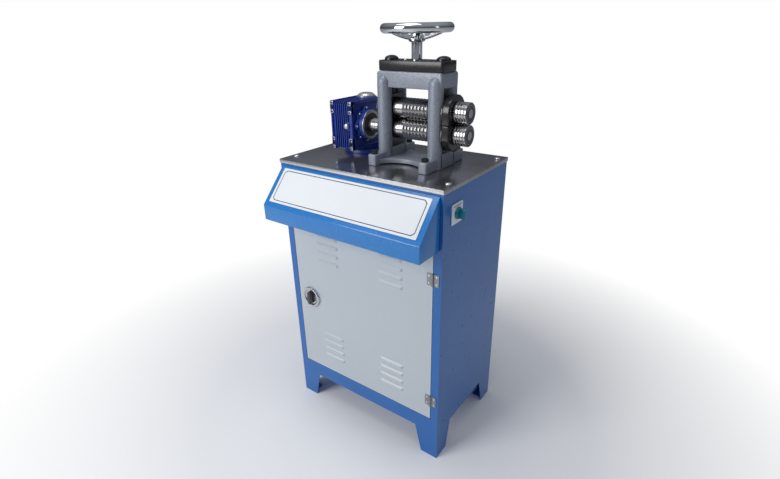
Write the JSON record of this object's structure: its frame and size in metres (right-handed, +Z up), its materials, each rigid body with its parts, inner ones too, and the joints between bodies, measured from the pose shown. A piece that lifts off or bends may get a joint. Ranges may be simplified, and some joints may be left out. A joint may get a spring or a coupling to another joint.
{
  "type": "motorised rolling mill on a cabinet stand",
  "caption": "Sheet and wire rolling mill with grooved rolls, worm gear drive and a geared handwheel screw-down, on a blue sheet-steel cabinet with a louvred door.",
  "frame": {"origin": "on the floor, under the middle of the whole machine's box", "axes": "+Z up, the door and console face -Y, the extension rolls and the switch are on the +X side"},
  "size_m": [0.6256, 0.507, 1.306],
  "materials": {
    "blue_paint": "gloss enamel",
    "grey_paint": "satin enamel",
    "white_plate": "gloss",
    "table_steel": "ground and worn",
    "hammer_grey": "hammertone enamel",
    "black_paint": "black enamel",
    "bright_steel": "ground bright",
    "chrome": "polished",
    "dark_steel": "dark",
    "gearbox_blue": "painted cast aluminium",
    "bare_aluminium": "bare",
    "bronze": "machined bronze",
    "motor_grey": "satin enamel",
    "dark_plastic": "moulded",
    "teal_plastic": "moulded"
  },
  "bodies": {
    "stand": {"front_frame": "blue_paint", "side_panel_left": "blue_paint", "side_panel_right": "blue_paint", "back_panel": "blue_paint", "floor_shelf": "blue_paint", "table_subframe": "blue_paint", "console_hood": "blue_paint", "table_plate": "table_steel", "console_plate": "white_plate", "switch_plate": "white_plate", "lower_hinge_frame_leaf": "dark_steel", "upper_hinge_frame_leaf": "dark_steel", "switch_body": "dark_plastic", "cable_gland": "dark_plastic", "mill_frame": "hammer_grey", "mill_bolt_front_left": "black_paint", "mill_bolt_front_right": "black_paint", "mill_bolt_rear_left": "black_paint", "mill_bolt_rear_right": "black_paint", "lower_bearing_block_left": "black_paint", "lower_bearing_block_right": "black_paint", "lower_gear_cover": "black_paint", "screwdown_case": "black_paint", "gearbox_housing": "gearbox_blue", "output_cover": "gearbox_blue", "input_flange": "gearbox_blue", "oil_plug": "bare_aluminium", "worm_cap": "bare_aluminium", "motor_stator": "motor_grey", "motor_flange": "motor_grey", "motor_fan_cowl": "motor_grey", "motor_terminal_box": "motor_grey"},
    "door": {"door": "grey_paint", "lower_hinge_door_leaf": "dark_steel", "upper_hinge_door_leaf": "dark_steel", "lock_rosette": "dark_steel"},
    "door_lock": {"lock_handle": "dark_steel", "lock_tongue": "bright_steel"},
    "switch": {"switch_knob": "teal_plastic"},
    "lower_roll_set": {"lower_roll": "bright_steel", "lower_roll_gear": "dark_steel", "lower_extension_roll": "bright_steel", "output_coupling": "bright_steel", "worm_wheel": "bronze"},
    "upper_carriage": {"upper_bearing_block_left": "black_paint", "upper_bearing_block_right": "black_paint", "upper_gear_cover": "black_paint"},
    "upper_roll_set": {"upper_roll": "bright_steel", "upper_roll_gear": "dark_steel", "upper_extension_roll": "bright_steel"},
    "handwheel_set": {"handwheel": "chrome", "handwheel_shaft": "bright_steel"},
    "idler_left": {"idler_gear_left": "dark_steel"},
    "idler_right": {"idler_gear_right": "dark_steel"},
    "screw_left": {"pressure_screw_left": "dark_steel"},
    "screw_right": {"pressure_screw_right": "dark_steel"},
    "motor_shaft_set": {"motor_rotor": "dark_steel", "motor_fan": "dark_plastic", "worm_shaft": "dark_steel"}
  },
  "joints": [
    {"name": "door_swing", "type": "hinge", "parent": "stand", "child": "door", "pos_m": [0.2582, -0.1601, 0.45], "axis": [0, 0, 1], "range_deg": [0, 110]},
    {"name": "lock_turn", "type": "hinge", "parent": "door", "child": "door_lock", "pos_m": [-0.2268, -0.1565, 0.445], "axis": [0, 1, 0], "range_deg": [0, 90]},
    {"name": "switch_turn", "type": "hinge", "parent": "stand", "child": "switch", "pos_m": [0.2842, -0.0865, 0.841], "axis": [1, 0, 0], "range_deg": [-60, 60]},
    {"name": "lower_roll_spin", "type": "hinge", "parent": "stand", "child": "lower_roll_set", "pos_m": [0.0762, 0.0375, 1.018], "axis": [1, 0, 0], "continuous": true},
    {"name": "motor_spin", "type": "hinge", "parent": "stand", "child": "motor_shaft_set", "pos_m": [-0.1583, 0.1005, 0.8], "axis": [0, 0, 1], "continuous": true},
    {"name": "handwheel_turn", "type": "hinge", "parent": "stand", "child": "handwheel_set", "pos_m": [0.0762, 0.0375, 1.293], "axis": [0, 0, 1], "range_deg": [0, 950]},
    {"name": "idler_left_turn", "type": "hinge", "parent": "stand", "child": "idler_left", "pos_m": [0.0322, 0.0375, 1.192], "axis": [0, 0, 1], "range_deg": [-600, 0]},
    {"name": "idler_right_turn", "type": "hinge", "parent": "stand", "child": "idler_right", "pos_m": [0.1202, 0.0375, 1.192], "axis": [0, 0, 1], "range_deg": [-600, 0]},
    {"name": "roll_lift", "type": "slide", "parent": "stand", "child": "upper_carriage", "axis": [0, 0, 1], "range_m": [0, 0.006]},
    {"name": "screw_left_turn", "type": "hinge", "parent": "upper_carriage", "child": "screw_left", "pos_m": [-0.0098, 0.0375, 1.192], "axis": [0, 0, 1], "range_deg": [0, 1080]},
    {"name": "screw_right_turn", "type": "hinge", "parent": "upper_carriage", "child": "screw_right", "pos_m": [0.1622, 0.0375, 1.192], "axis": [0, 0, 1], "range_deg": [0, 1080]},
    {"name": "upper_roll_spin", "type": "hinge", "parent": "upper_carriage", "child": "upper_roll_set", "pos_m": [0.0762, 0.0375, 1.0785], "axis": [1, 0, 0], "continuous": true}
  ],
  "couplings": [
    {"joint": "upper_roll_spin", "follows": "lower_roll_spin", "ratio": -1},
    {"joint": "motor_spin", "follows": "lower_roll_spin", "ratio": -30},
    {"joint": "idler_left_turn", "follows": "handwheel_turn", "ratio": -0.62963},
    {"joint": "idler_right_turn", "follows": "handwheel_turn", "ratio": -0.62963},
    {"joint": "screw_left_turn", "follows": "handwheel_turn", "ratio": 1.1333},
    {"joint": "screw_right_turn", "follows": "handwheel_turn", "ratio": 1.1333},
    {"joint": "roll_lift", "follows": "handwheel_turn", "m_per_rad": 0.00036075}
  ]
}
